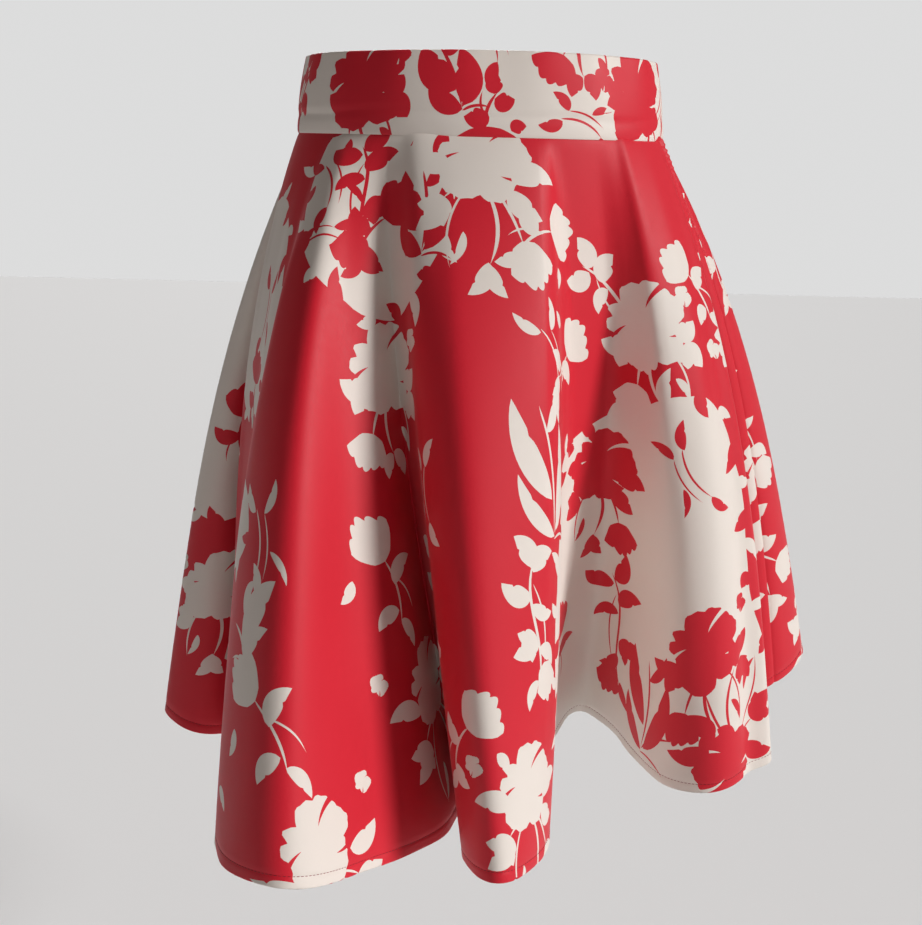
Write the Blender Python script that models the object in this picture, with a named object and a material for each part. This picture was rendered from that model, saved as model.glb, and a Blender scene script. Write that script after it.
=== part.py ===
"""A circle skirt as it hangs when it is worn: a folded waistband over two half-circle panels.

Metres, +Z up. The origin is the middle of the waist, half-way up the waistband, where the
wearer holds the skirt. The front faces -Y and the wearer's left side is at +X.

The cloth of each panel is a ruled fall from the waist oval to the hem. The hem's plan is a
closed curve of soft folds, one row of a table for each crest and each valley. A fold is
nothing at the waist and grows evenly towards the hem, and every thread that runs down the
skirt keeps the cut length, so a fold that reaches further out hangs a little higher.
"""

import math
from collections import namedtuple

import bmesh
import bpy
import numpy as np

# ---- Driving sizes -----------------------------------------------------------------------
WAIST_WIDTH = 0.260          # the waist seam's oval, side to side
WAIST_DEPTH = 0.190          # and front to back
BAND_HEIGHT = 0.052
BAND_THICKNESS = 0.0036      # two layers of cloth with the elastic between them
BAND_TAPER = 0.0060          # how far the band's top edge draws in all round
BAND_PROUD = 0.0008          # how far the band's lower edge stands out past the panels
CLOTH_LENGTH = 0.487         # waist seam to hem, along the cloth
CLOTH_THICKNESS = 0.0012
HEM_HEIGHT = 0.009           # the hem is turned up once, so the wall is doubled there
HEM_THICKNESS = 0.0025
HEM_STEP = 0.0015            # how far above the turned edge the wall thins again
SPREAD_WIDTH = 0.368         # the oval that the cloth opens to over the hips
SPREAD_DEPTH = 0.320
SEAM_GAP = 0.0003            # clear space between two sewn pieces

# ---- Shape rules --------------------------------------------------------------------------
HIP_POWER = 3.0              # how quickly the cloth leaves the waist: higher is rounder
FOLD_POWER = 1.03            # how evenly a fold grows down the skirt: 1 is a straight cone
FALL_STEPS = 96              # steps in which the fall of the cloth is added up
CREST_STEPS = 3              # facets on each half of a crest's turn
VALLEY_STEPS = 2             # facets on each half of a valley's turn
FLANK_STEPS = 2              # facets on the flank between a crest and a valley
ROW_SHARES = (0.0, 0.05, 0.12, 0.20, 0.30, 0.41, 0.53, 0.66, 0.79, 0.90)
END_MARGIN = 0.0012          # the narrowest facet at a side seam, as a share of the hem
BAND_FACETS = 72
BAND_EDGE_FACETS = 4         # facets over the band's folded top edge
BAND_LEAN = ((0.35, 0.25), (0.70, 0.62), (1.0, 1.0))    # share of its rise, of its taper
SOFT_EDGE = 50.0             # edges sharper than this many degrees are shaded hard

SATIN_ROUGHNESS = 0.42
BAND_COLOUR = (0.82, 0.76, 0.71)
BACK_COLOUR = (0.56, 0.012, 0.028)
FRONT_COLOUR = (0.60, 0.014, 0.032)

SEAM_HEIGHT = -BAND_HEIGHT / 2
SEAM_ANGLES = (0.0, 180.0)   # the side seams, in degrees round the waist from +X

# One row for each crest and valley of the hem, anticlockwise from above:
#   across, back     the tip of the turn in plan, from the middle of the waist
#   facing           the way the tip points, in degrees from +X
#   before, after    the turn's half widths, first and second along the hem
#   depth            how far behind the tip those half widths are measured
#   waist            where round the waist the fold starts, in degrees from +X
#   start, end       the share of the waist that the turn takes up, before and after that
Fold = namedtuple("Fold", "name crest across back facing before after depth waist start end")
FOLDS = (
    Fold("right_back_valley", False, 0.136, 0.084, 215, 0.010, 0.010, 0.040, 20, 3, 3),
    Fold("right_back", True, 0.190, 0.206, 48, 0.034, 0.034, 0.042, 44, 6, 6),
    Fold("back_right_valley", False, 0.060, 0.098, 240, 0.011, 0.011, 0.040, 64, 3, 3),
    Fold("back_right", True, 0.036, 0.256, 88, 0.034, 0.034, 0.042, 84, 6, 6),
    Fold("back_middle_valley", False, -0.006, 0.094, 268, 0.012, 0.012, 0.040, 100, 3, 3),
    Fold("back_left", True, -0.102, 0.246, 108, 0.040, 0.040, 0.045, 118, 6, 6),
    Fold("back_left_valley", False, -0.080, 0.084, 310, 0.011, 0.011, 0.040, 134, 3, 3),
    Fold("left_back", True, -0.216, 0.150, 146, 0.032, 0.032, 0.040, 149, 5, 5),
    Fold("left_back_valley", False, -0.120, 0.066, 335, 0.009, 0.009, 0.045, 160, 2, 2),
    Fold("left_side", True, -0.250, 0.018, 186, 0.024, 0.026, 0.026, 168, 3, 3),
    Fold("left_side_valley", False, -0.104, 0.034, 10, 0.008, 0.008, 0.045, 176, 1.5, 1.5),
    Fold("front_left_corner", True, -0.184, -0.004, 170, 0.014, 0.022, 0.012, 187, 4, 4),
    Fold("front_left_hollow", False, -0.163, -0.090, 5, 0.035, 0.035, 0.004, 211, 6, 6),
    Fold("front_left", True, -0.109, -0.259, 270, 0.054, 0.050, 0.055, 228, 6, 5),
    Fold("front_left_valley", False, 0.000, -0.090, 92, 0.007, 0.006, 0.035, 242, 3, 3),
    Fold("front_middle", True, 0.020, -0.218, 285, 0.010, 0.047, 0.040, 260, 9, 26),
    Fold("front_right_valley", False, 0.099, 0.036, 92, 0.025, 0.026, 0.036, 305, 12, 5),
    Fold("front_right", True, 0.192, -0.080, 280, 0.024, 0.026, 0.012, 324, 6, 5),
    Fold("front_right_corner", True, 0.240, -0.044, 335, 0.016, 0.022, 0.012, 338, 4, 4),
    Fold("right_side_valley", False, 0.125, 0.062, 190, 0.008, 0.008, 0.050, 351, 2, 2),
    Fold("right_side", True, 0.303, 0.118, 24, 0.026, 0.024, 0.034, 366, 5, 4),
)


def clear_scene():
    """Remove every object that a new Blender file starts with."""
    for old in list(bpy.data.objects):
        bpy.data.objects.remove(old, do_unlink=True)


def cloth_material(name, colour):
    """A plain Principled material for one piece of cloth."""
    material = bpy.data.materials.new(name)
    material.use_nodes = True
    shader = material.node_tree.nodes["Principled BSDF"]
    shader.inputs["Base Color"].default_value = (*colour, 1.0)
    shader.inputs["Roughness"].default_value = SATIN_ROUGHNESS
    shader.inputs["Metallic"].default_value = 0.0
    return material


# ---- The hem's plan -----------------------------------------------------------------------
def fold_turns():
    """Three points in plan for each fold (shoulder, tip, shoulder), and their waist angles."""
    points = []
    angles = []
    for fold in FOLDS:
        facing = math.radians(fold.facing)
        out = np.array([math.cos(facing), math.sin(facing)])
        along = np.array([-math.sin(facing), math.cos(facing)])
        if not fold.crest:
            along = -along
        tip = np.array([fold.across, fold.back])
        middle = tip - fold.depth * out
        points += [middle - fold.before * along, tip, middle + fold.after * along]
        angles += [fold.waist - fold.start, fold.waist, fold.waist + fold.end]
    return np.array(points), np.array(angles, dtype=float)


def closed_spline(points, steps):
    """A closed natural cubic through the points, each span cut into its number of steps."""
    count = len(points)
    following = np.roll(points, -1, axis=0)
    span = np.linalg.norm(following - points, axis=1)
    matrix = np.zeros((count, count))
    rise = np.zeros((count, 2))
    for i in range(count):
        before, after = span[i - 1], span[i]
        matrix[i, i - 1] += before
        matrix[i, i] += 2 * (before + after)
        matrix[i, (i + 1) % count] += after
        rise[i] = 6 * ((following[i] - points[i]) / after - (points[i] - points[i - 1]) / before)
    bend = np.linalg.solve(matrix, rise)
    pieces = []
    for i in range(count):
        j = (i + 1) % count
        length = span[i]
        near = np.linspace(0.0, length, steps[i], endpoint=False)[:, None]
        far = length - near
        pieces.append((bend[i] * far ** 3 + bend[j] * near ** 3) / (6 * length)
                      + (points[i] / length - bend[i] * length / 6) * far
                      + (points[j] / length - bend[j] * length / 6) * near)
    return np.concatenate(pieces)


def monotone(x, y, wanted):
    """Values at the wanted places of a smooth curve through x, y that never turns back."""
    width = np.diff(x)
    slope = np.diff(y) / width
    product = slope[:-1] * slope[1:]
    lean = np.zeros_like(y)
    lean[1:-1] = np.where(product > 0, 2 * product / (slope[:-1] + slope[1:]), 0.0)
    lean[0] = slope[0]
    lean[-1] = slope[-1]
    k = np.clip(np.searchsorted(x, wanted, side="right") - 1, 0, len(x) - 2)
    s = (wanted - x[k]) / width[k]
    return ((2 * s ** 3 - 3 * s ** 2 + 1) * y[k] + (s ** 3 - 2 * s ** 2 + s) * width[k] * lean[k]
            + (3 * s ** 2 - 2 * s ** 3) * y[k + 1] + (s ** 3 - s ** 2) * width[k] * lean[k + 1])


class HemPlan:
    """The hem from above, and where round the waist each point of it hangs from.

    Places on the hem are given as u, the share of the hem's length from the first fold.
    """

    FINE = 24

    def __init__(self):
        points, angles = fold_turns()
        curve = closed_spline(points, [self.FINE] * len(points))
        self.curve = np.vstack([curve, curve[:1]])
        arc = np.linalg.norm(np.diff(self.curve, axis=0), axis=1)
        self.arc = np.concatenate([[0.0], np.cumsum(arc)])
        self.length = self.arc[-1]
        self.turn_u = self.arc[:-1:self.FINE] / self.length
        self.known_u = np.concatenate([self.turn_u[-3:] - 1, self.turn_u, self.turn_u[:3] + 1])
        self.known_angle = np.concatenate([angles[-3:] - 360, angles, angles[:3] + 360])

    def place(self, u):
        """The hem's plan at u."""
        along = np.mod(u, 1.0) * self.length
        return np.stack([np.interp(along, self.arc, self.curve[:, k]) for k in (0, 1)], axis=-1)

    def waist_angle(self, u):
        """Degrees round the waist for u; it goes on past 360 where u goes on past 1."""
        turns = np.floor(u)
        return monotone(self.known_u, self.known_angle, u - turns) + 360 * turns

    def u_at(self, degrees):
        """The u whose thread starts at this waist angle."""
        fine = np.linspace(0.0, 1.0, 20001)
        angles = self.waist_angle(fine)
        return float(np.interp((degrees - angles[0]) % 360 + angles[0], angles, fine))

    def facets(self, first, last):
        """The u of every facet edge from first to last, finest at the crests.

        Every third turning point ends a fold's turn, so a flank starts there.
        """
        edges = []
        for lap in (-1, 0, 1):
            for i, start in enumerate(self.turn_u):
                end = self.turn_u[i + 1] if i + 1 < len(self.turn_u) else 1.0
                turn_steps = CREST_STEPS if FOLDS[i // 3].crest else VALLEY_STEPS
                steps = FLANK_STEPS if i % 3 == 2 else turn_steps
                edges += list(np.linspace(start, end, steps, endpoint=False) + lap)
        edges = np.array(edges)
        inside = edges[(edges > first + END_MARGIN) & (edges < last - END_MARGIN)]
        return np.concatenate([[first], inside, [last]])


def oval(width, depth, degrees):
    """Points of an oval in plan at these angles."""
    turn = np.radians(degrees)
    return np.stack([width / 2 * np.cos(turn), depth / 2 * np.sin(turn)], axis=-1)


def fall(plan, u):
    """The cloth's outer face for each u, at FALL_STEPS + 1 even shares of its length.

    In plan a thread goes from the waist oval to the spread oval, quickly at first, and its
    fold is added evenly. Its height falls by what the cut length leaves of each step.
    """
    degrees = plan.waist_angle(u)
    waist = oval(WAIST_WIDTH, WAIST_DEPTH, degrees)[:, None]
    spread = oval(SPREAD_WIDTH, SPREAD_DEPTH, degrees)[:, None]
    hem = plan.place(u)[:, None]
    share = np.linspace(0.0, 1.0, FALL_STEPS + 1)[None, :, None]
    opened = 1 - (1 - share) ** HIP_POWER
    folded = share ** FOLD_POWER
    flat = waist + (spread - waist) * opened + (hem - spread) * folded
    run = np.linalg.norm(np.diff(flat, axis=1), axis=2)
    step = CLOTH_LENGTH / FALL_STEPS
    drop = np.cumsum(np.sqrt(step ** 2 - run ** 2), axis=1)
    height = SEAM_HEIGHT - SEAM_GAP - np.concatenate([np.zeros((len(u), 1)), drop], axis=1)
    return np.concatenate([flat, height[..., None]], axis=2)


def outward(plan, u):
    """Unit normals of the same grid as fall(), pointing away from the wearer."""
    small = 1e-4
    across = fall(plan, u + small) - fall(plan, u - small)
    down = np.gradient(fall(plan, u), axis=1)
    normal = np.cross(down, across)
    return normal / np.linalg.norm(normal, axis=2, keepdims=True)


def rows_of(grid, shares):
    """The rows of a fall() grid at these shares of the length."""
    even = np.linspace(0.0, 1.0, grid.shape[1])
    rows = [[np.interp(shares, even, thread[:, k]) for k in range(3)] for thread in grid]
    return np.array(rows).transpose(0, 2, 1)


# ---- The pieces ---------------------------------------------------------------------------
def closed_object(name, rings, closed, material):
    """Skin a row of equal rings into one closed body, capped at the ends if it is open."""
    mesh = bpy.data.meshes.new(name)
    body = bmesh.new()
    loops = [[body.verts.new(point) for point in ring] for ring in rings]
    size = len(loops[0])
    pairs = list(zip(loops, loops[1:]))
    if closed:
        pairs.append((loops[-1], loops[0]))
    for left, right in pairs:
        for i in range(size):
            j = (i + 1) % size
            body.faces.new((left[i], left[j], right[j], right[i]))
    if not closed:
        outer = size // 2
        for loop in (loops[0], loops[-1]):
            for i in range(outer - 1):
                body.faces.new((loop[i], loop[i + 1], loop[size - 2 - i], loop[size - 1 - i]))
    bmesh.ops.recalc_face_normals(body, faces=body.faces)
    body.to_mesh(mesh)
    body.free()
    mesh.shade_smooth()
    mesh.set_sharp_from_angle(angle=math.radians(SOFT_EDGE))
    mesh.materials.append(material)
    piece = bpy.data.objects.new(name, mesh)
    bpy.context.collection.objects.link(piece)
    return piece


def add_panel(name, plan, first_angle, last_angle, material):
    """A half-circle panel between two side seams, its hem turned up on the inside."""
    first = plan.u_at(first_angle)
    last = plan.u_at(last_angle)
    if last <= first:
        last += 1.0
    u = plan.facets(first, last)
    outer = fall(plan, u)
    normal = outward(plan, u)
    hem_share = 1 - HEM_HEIGHT / CLOTH_LENGTH
    step_share = hem_share - HEM_STEP / CLOTH_LENGTH
    shares = np.array(ROW_SHARES + (step_share, hem_share, 1.0))
    depths = np.full(len(shares), CLOTH_THICKNESS)
    depths[-2:] = HEM_THICKNESS
    outer_points = rows_of(outer, shares)
    normals = rows_of(normal, shares)
    normals[:, 0, 2] = 0.0                              # the top edge is cut level
    normals /= np.linalg.norm(normals, axis=2, keepdims=True)
    inner_points = outer_points - normals * depths[None, :, None]
    rings = np.concatenate([outer_points, inner_points[:, ::-1]], axis=1)
    half = SEAM_GAP / 2
    for end, neighbour in ((0, 1), (-1, -2)):
        inward = rings[neighbour] - rings[end]
        rings[end] += half * inward / np.linalg.norm(inward, axis=1, keepdims=True)
    return closed_object(name, rings, False, material)


def band_profile():
    """The waistband's section as (inset, height) pairs: up the outside, over, down inside."""
    low = -BAND_HEIGHT / 2
    radius = BAND_THICKNESS / 2
    shoulder = BAND_HEIGHT / 2 - radius
    outer = [(-BAND_PROUD, low)]
    for rise_share, taper_share in BAND_LEAN:
        outer.append((BAND_TAPER * taper_share, low + (shoulder - low) * rise_share))
    edge = []
    for i in range(1, BAND_EDGE_FACETS):
        turn = math.pi * i / BAND_EDGE_FACETS
        edge.append((BAND_TAPER + radius * (1 - math.cos(turn)),
                     shoulder + radius * math.sin(turn)))
    inner = [(inset + BAND_THICKNESS, height) for inset, height in reversed(outer)]
    return outer + edge + inner


def add_waistband(material):
    """A ring round the waist oval, with its fold uppermost."""
    profile = band_profile()
    rings = []
    for step in range(BAND_FACETS):
        turn = 2 * math.pi * step / BAND_FACETS
        x = WAIST_WIDTH / 2 * math.cos(turn)
        y = WAIST_DEPTH / 2 * math.sin(turn)
        out = np.array([math.cos(turn) / WAIST_WIDTH, math.sin(turn) / WAIST_DEPTH])
        out /= np.linalg.norm(out)
        rings.append([(x - inset * out[0], y - inset * out[1], height)
                      for inset, height in profile])
    return closed_object("waistband", rings, True, material)


def main():
    """Build the waistband, the front and the back."""
    clear_scene()
    plan = HemPlan()
    right, left = SEAM_ANGLES
    add_waistband(cloth_material("band_cloth", BAND_COLOUR))
    add_panel("skirt_back", plan, right, left, cloth_material("back_cloth", BACK_COLOUR))
    add_panel("skirt_front", plan, left, right, cloth_material("front_cloth", FRONT_COLOUR))


main()
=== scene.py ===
import math

import bpy
import numpy as np
from mathutils import Matrix, Vector
from mathutils.geometry import delaunay_2d_cdt


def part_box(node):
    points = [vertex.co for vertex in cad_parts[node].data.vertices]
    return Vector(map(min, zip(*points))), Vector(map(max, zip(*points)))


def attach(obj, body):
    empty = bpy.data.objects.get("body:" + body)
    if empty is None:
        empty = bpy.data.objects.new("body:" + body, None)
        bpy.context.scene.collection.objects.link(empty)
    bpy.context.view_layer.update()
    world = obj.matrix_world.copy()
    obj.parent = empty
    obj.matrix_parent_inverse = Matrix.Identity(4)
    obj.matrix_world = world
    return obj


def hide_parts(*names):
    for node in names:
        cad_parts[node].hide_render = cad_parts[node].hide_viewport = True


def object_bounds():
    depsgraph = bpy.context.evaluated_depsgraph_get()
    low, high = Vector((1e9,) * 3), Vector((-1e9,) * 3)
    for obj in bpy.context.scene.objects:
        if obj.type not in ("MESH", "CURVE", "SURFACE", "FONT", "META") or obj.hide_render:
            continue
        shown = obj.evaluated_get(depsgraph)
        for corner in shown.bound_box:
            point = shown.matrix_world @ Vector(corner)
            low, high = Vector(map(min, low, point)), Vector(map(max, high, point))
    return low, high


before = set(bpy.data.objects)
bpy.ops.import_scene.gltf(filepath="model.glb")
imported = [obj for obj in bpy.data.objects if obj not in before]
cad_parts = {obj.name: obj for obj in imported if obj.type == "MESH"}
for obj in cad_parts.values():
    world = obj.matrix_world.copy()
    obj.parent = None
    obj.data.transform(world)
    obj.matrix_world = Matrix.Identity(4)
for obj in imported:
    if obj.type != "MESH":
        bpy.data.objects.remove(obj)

cadLow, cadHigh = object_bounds()
bandLow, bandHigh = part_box("waistband")
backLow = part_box("skirt_back")[0]

# What a user would change on the cut and the hang of the skirt, in metres.
cut = {
    "waistWidth": 0.260,
    "waistDepth": 0.190,
    "bandHeight": bandHigh.z - bandLow.z,
    "length": 0.487,            # waist seam to hem, along the cloth
    "waistRadius": 0.1132,      # of the flat half circle's waist edge
    "spreadWidth": 0.368,       # the oval that the cloth opens to over the hips
    "spreadDepth": 0.320,
    "hipPower": 3.0,
    "foldPower": 1.03,
    "thickness": 0.0012,
    "hemTurn": 0.009,           # height of the turned-up hem
    "hemThickness": 0.0025,
    "seamSides": (0.0, 180.0),  # waist angles of the side seams
}
seamHeight = -cut["bandHeight"] / 2

# Each fold of the hem, anticlockwise from above: crest or not, across, back, the way its tip
# points, half widths before and after, depth, waist angle, and the waist it takes up.
folds = (
    (0, 0.136, 0.084, 215, 0.010, 0.010, 0.040, 20, 3, 3),        # valley behind the right side
    (1, 0.190, 0.206, 48, 0.034, 0.034, 0.042, 44, 6, 6),         # right back flare
    (0, 0.060, 0.098, 240, 0.011, 0.011, 0.040, 64, 3, 3),
    (1, 0.036, 0.256, 88, 0.034, 0.034, 0.042, 84, 6, 6),         # middle back flare
    (0, -0.006, 0.094, 268, 0.012, 0.012, 0.040, 100, 3, 3),
    (1, -0.102, 0.246, 108, 0.040, 0.040, 0.045, 118, 6, 6),      # back left flare
    (0, -0.080, 0.084, 310, 0.011, 0.011, 0.040, 134, 3, 3),
    (1, -0.216, 0.150, 146, 0.032, 0.032, 0.040, 149, 5, 5),      # left back flare
    (0, -0.120, 0.066, 335, 0.009, 0.009, 0.045, 160, 2, 2),
    (1, -0.250, 0.018, 186, 0.024, 0.026, 0.026, 168, 3, 3),      # left side flare
    (0, -0.104, 0.034, 10, 0.008, 0.008, 0.045, 176, 1.5, 1.5),   # valley of the left seam
    (1, -0.184, -0.004, 170, 0.014, 0.022, 0.012, 187, 4, 4),
    (0, -0.163, -0.090, 5, 0.035, 0.035, 0.004, 211, 6, 6),
    (1, -0.109, -0.259, 270, 0.054, 0.050, 0.055, 228, 6, 5),     # deep front left flare
    (0, 0.000, -0.090, 92, 0.007, 0.006, 0.035, 242, 3, 3),
    (1, 0.020, -0.218, 285, 0.010, 0.047, 0.040, 260, 9, 26),     # middle front flare
    (0, 0.099, 0.036, 92, 0.025, 0.026, 0.036, 305, 12, 5),
    (1, 0.192, -0.080, 280, 0.024, 0.026, 0.012, 324, 6, 5),      # front right flare
    (1, 0.240, -0.044, 335, 0.016, 0.022, 0.012, 338, 4, 4),
    (0, 0.125, 0.062, 190, 0.008, 0.008, 0.050, 351, 2, 2),
    (1, 0.303, 0.118, 24, 0.026, 0.024, 0.034, 366, 5, 4),        # right side flare
)


# Three points for each fold, shoulder, tip and shoulder: the shoulders lie a depth behind
# the tip and a half width to each side; a valley runs the other way round.
def foldTurns(rows):
    table = np.array(rows, float)
    crest, tip, facing = table[:, 0] > 0.5, table[:, 1:3], np.radians(table[:, 3])
    out = np.stack([np.cos(facing), np.sin(facing)], 1)
    along = np.stack([-np.sin(facing), np.cos(facing)], 1) * np.where(crest, 1.0, -1.0)[:, None]
    middle = tip - table[:, 6:7] * out
    points = np.stack([middle - table[:, 4:5] * along, tip, middle + table[:, 5:6] * along], 1)
    angles = np.stack([table[:, 7] - table[:, 8], table[:, 7], table[:, 7] + table[:, 9]], 1)
    return points.reshape(-1, 2), angles.ravel()


# A closed natural cubic: the bends at the knots solve (before, 2 (before + after), after)
# times bend = 6 times the change of slope, with the chords as spans.
def closedSpline(points):
    count = len(points)
    span = np.linalg.norm(np.roll(points, -1, 0) - points, axis=1)
    before = np.roll(span, 1)
    spot = np.arange(count)
    matrix = np.zeros((count, count))
    matrix[spot, spot - 1] += before
    matrix[spot, spot] += 2 * (before + span)
    matrix[spot, (spot + 1) % count] += span
    slope = (np.roll(points, -1, 0) - points) / span[:, None]
    return points, np.linalg.solve(matrix, 6 * (slope - np.roll(slope, 1, 0))), span


# The spline at t, counted in knots: (bend far^3 + next near^3) / 6 span plus the chord.
def splineAt(spline, t):
    points, bend, span = spline
    i = np.floor(t).astype(int) % len(points)
    j = (i + 1) % len(points)
    length = span[i][:, None]
    near = (t - np.floor(t))[:, None] * length
    far = length - near
    return ((bend[i] * far ** 3 + bend[j] * near ** 3) / (6 * length)
            + (points[i] / length - bend[i] * length / 6) * far
            + (points[j] / length - bend[j] * length / 6) * near)


# A cubic through x, y whose slope at each point is the harmonic mean of its neighbours',
# or nothing where they differ in sign, so it never turns back.
def smoothRise(x, y, wanted):
    width = np.diff(x)
    slope = np.diff(y) / width
    product = slope[:-1] * slope[1:]
    lean = np.concatenate([slope[:1], np.zeros(len(y) - 2), slope[-1:]])
    lean[1:-1] = np.where(product > 0, 2 * product / (slope[:-1] + slope[1:]), 0.0)
    k = np.clip(np.searchsorted(x, wanted, side="right") - 1, 0, len(x) - 2)
    s = (wanted - x[k]) / width[k]
    return ((2 * s ** 3 - 3 * s ** 2 + 1) * y[k] + (s ** 3 - 2 * s ** 2 + s) * width[k] * lean[k]
            + (3 * s ** 2 - 2 * s ** 3) * y[k + 1] + (s ** 3 - s ** 2) * width[k] * lean[k + 1])


# The hem: u is the share of its length from the first fold, and every thread that runs down
# the cloth keeps its u.
turnPoints, turnAngles = foldTurns(folds)
hemSpline = closedSpline(turnPoints)
hemKnots = np.linspace(0, len(turnPoints), len(turnPoints) * 64 + 1)
hemCurve = splineAt(hemSpline, hemKnots)
hemArc = np.concatenate([[0], np.cumsum(np.linalg.norm(np.diff(hemCurve, axis=0), axis=1))])
hemLength = hemArc[-1]
turnU = hemArc[:-1:64] / hemLength
knownU = np.concatenate([turnU[-3:] - 1, turnU, turnU[:3] + 1])
knownAngle = np.concatenate([turnAngles[-3:] - 360, turnAngles, turnAngles[:3] + 360])


def hemAt(u):  # plan of the hem: u to arc length to knots to the spline
    return splineAt(hemSpline, np.interp(np.mod(u, 1.0) * hemLength, hemArc, hemKnots))


def waistAngle(u):  # degrees round the waist, going on past 360 with u past 1
    turns = np.floor(u)
    return smoothRise(knownU, knownAngle, u - turns) + 360 * turns


def threadAt(degrees):  # the u that hangs from a waist angle
    fine = np.linspace(0, 1, 20001)
    angles = waistAngle(fine)
    return float(np.interp((degrees - angles[0]) % 360 + angles[0], angles, fine))


# Plan = waist oval + (spread oval - waist) (1 - (1 - s)^hipPower) + (hem - spread) s^foldPower.
def planAt(u, s):
    turn = np.radians(waistAngle(u))
    around = np.stack([np.cos(turn), np.sin(turn)], -1)
    waist = around * (cut["waistWidth"] / 2, cut["waistDepth"] / 2)
    spread = around * (cut["spreadWidth"] / 2, cut["spreadDepth"] / 2)
    opened = (1 - (1 - s) ** cut["hipPower"])[:, None]
    folded = (s ** cut["foldPower"])[:, None]
    return waist + (spread - waist) * opened + (hemAt(u) - spread) * folded


# The drop of each thread: what its cut length leaves of every step, added up. A regular
# table over u and s, read by straight lines between its values.
tableU = np.linspace(-0.1, 1.1, 2401)
tableS = np.linspace(0, 1, 193)


def dropTable():  # each step of cloth falls by what its run across leaves of it
    rows = [planAt(tableU, np.full(len(tableU), s)) for s in tableS]
    run = np.linalg.norm(np.diff(np.array(rows), axis=0), axis=2)
    step = cut["length"] / (len(tableS) - 1)
    return np.vstack([np.zeros(len(tableU)), np.cumsum(np.sqrt(step ** 2 - run ** 2), axis=0)])


def readTable(table, u, s):  # blends the four values round (u, s)
    x = np.clip((u - tableU[0]) / (tableU[1] - tableU[0]), 0, len(tableU) - 1.001)
    y = np.clip(s * (len(tableS) - 1), 0, len(tableS) - 1.001)
    i, j = x.astype(int), y.astype(int)
    a, b = x - i, y - j
    return ((table[j, i] * (1 - a) + table[j, i + 1] * a) * (1 - b)
            + (table[j + 1, i] * (1 - a) + table[j + 1, i + 1] * a) * b)


drops = dropTable()
print("hang", round(float(hemLength), 3), "m round the hem")


def hangAt(u, s):  # the smooth cloth: its plan and its drop
    height = seamHeight - 0.0003 - readTable(drops, u, s)
    return np.concatenate([planAt(u, s), height[:, None]], 1)


def unit(vectors):  # the same ways, one long
    return vectors / np.linalg.norm(vectors, axis=-1, keepdims=True)


# Unit normals of any face(u, d): the cross of its two slopes, taken over small steps.
def normalsOf(face, u, d, stepD):
    across = face(u + 0.0002, d) - face(u - 0.0002, d)
    down = face(u, d + stepD) - face(u, d - stepD)
    return unit(np.cross(down, across))


# Soft creases and ripples that the plain hang leaves out: where round the waist (degrees) a
# crease starts and ends, from and to which share of the length, its half width at the hem
# and its height, both in metres; less than nothing is a trough.
creases = (
    (344.0, 349.0, 0.00, 1.00, 0.0075, 0.0030),     # front right, below the seam to the hem
    (341.0, 345.5, 0.02, 0.96, 0.0070, -0.0016),
    (199.0, 205.0, 0.05, 0.90, 0.0160, -0.0020),
    (221.0, 219.0, 0.10, 0.80, 0.0200, 0.0014),
    (252.0, 250.0, 0.00, 0.35, 0.0140, 0.0016),
    (276.0, 280.0, 0.05, 0.75, 0.0220, -0.0018),
    (292.0, 290.0, 0.10, 0.60, 0.0180, 0.0012),
    (316.0, 317.0, 0.00, 0.55, 0.0120, 0.0014),
    (30.0, 33.0, 0.00, 0.70, 0.0140, 0.0018),
    (52.0, 50.0, 0.05, 0.95, 0.0120, -0.0016),
    (76.0, 77.0, 0.00, 0.60, 0.0140, -0.0014),
    (92.0, 90.0, 0.10, 0.90, 0.0150, 0.0014),
    (111.0, 113.0, 0.00, 0.80, 0.0160, -0.0018),
    (126.0, 124.0, 0.00, 0.50, 0.0130, 0.0016),
    (145.0, 146.0, 0.05, 0.90, 0.0120, -0.0014),
    (155.0, 154.0, 0.00, 0.65, 0.0110, 0.0014),
)
ripple = {"height": 0.0005, "hemHeight": 0.0008, "stitchDip": 0.00035, "stitchRow": 0.0078}
creaseThreads = [(threadAt(row[0]), threadAt(row[1])) + row[2:] for row in creases]
seamU = np.array([threadAt(degrees) for degrees in cut["seamSides"]])


# Offset along the normal: each crease is height * bell(distance / width) with soft ends,
# its distance measured along the section; the ripples are three slow waves that grow with
# s; the stitch row dips, and the cloth rolls in along the side seams and under the band.
def offsetAt(u, s):
    total = np.zeros_like(u)
    rate = hemLength * (0.2 + 0.8 * s)
    for top, low, first, last, width, height in creaseThreads:
        spot = top + (low - top) * s
        apart = (np.mod(u - spot + 0.5, 1.0) - 0.5) * rate
        ends = np.clip((s - first) / 0.12 + (first == 0), 0, 1) * np.clip((last - s) / 0.25, 0, 1)
        reach = width * (0.45 + 0.55 * s)
        total += height * np.exp(-(apart / reach) ** 2) * ends * ends * (3 - 2 * ends)
    turn = 2 * np.pi * u
    wave = (np.sin(31 * turn + 5 * s) + 0.7 * np.sin(19 * turn - 9 * s + 1.3)
            + 0.5 * np.sin(47 * turn + 14 * s + 0.4))
    total += ripple["height"] * wave * s * (0.4 + 0.6 * s)
    nearHem = np.clip((s - 0.95) / 0.05, 0, 1) ** 2
    total += ripple["hemHeight"] * nearHem * np.sin(61 * turn + 2 * np.sin(9 * turn))
    rise = (1 - s) * cut["length"]
    total -= ripple["stitchDip"] * np.exp(-((rise - ripple["stitchRow"]) / 0.0013) ** 2)
    for seam in seamU:
        apart = (np.mod(u - seam + 0.5, 1.0) - 0.5) * rate
        total -= 0.0010 * np.exp(-np.abs(apart) / 0.0016) + 0.0006 * np.exp(-(apart / 0.006) ** 2)
    total -= 0.0007 * np.exp(-s * cut["length"] / 0.0025)
    return total


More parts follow.
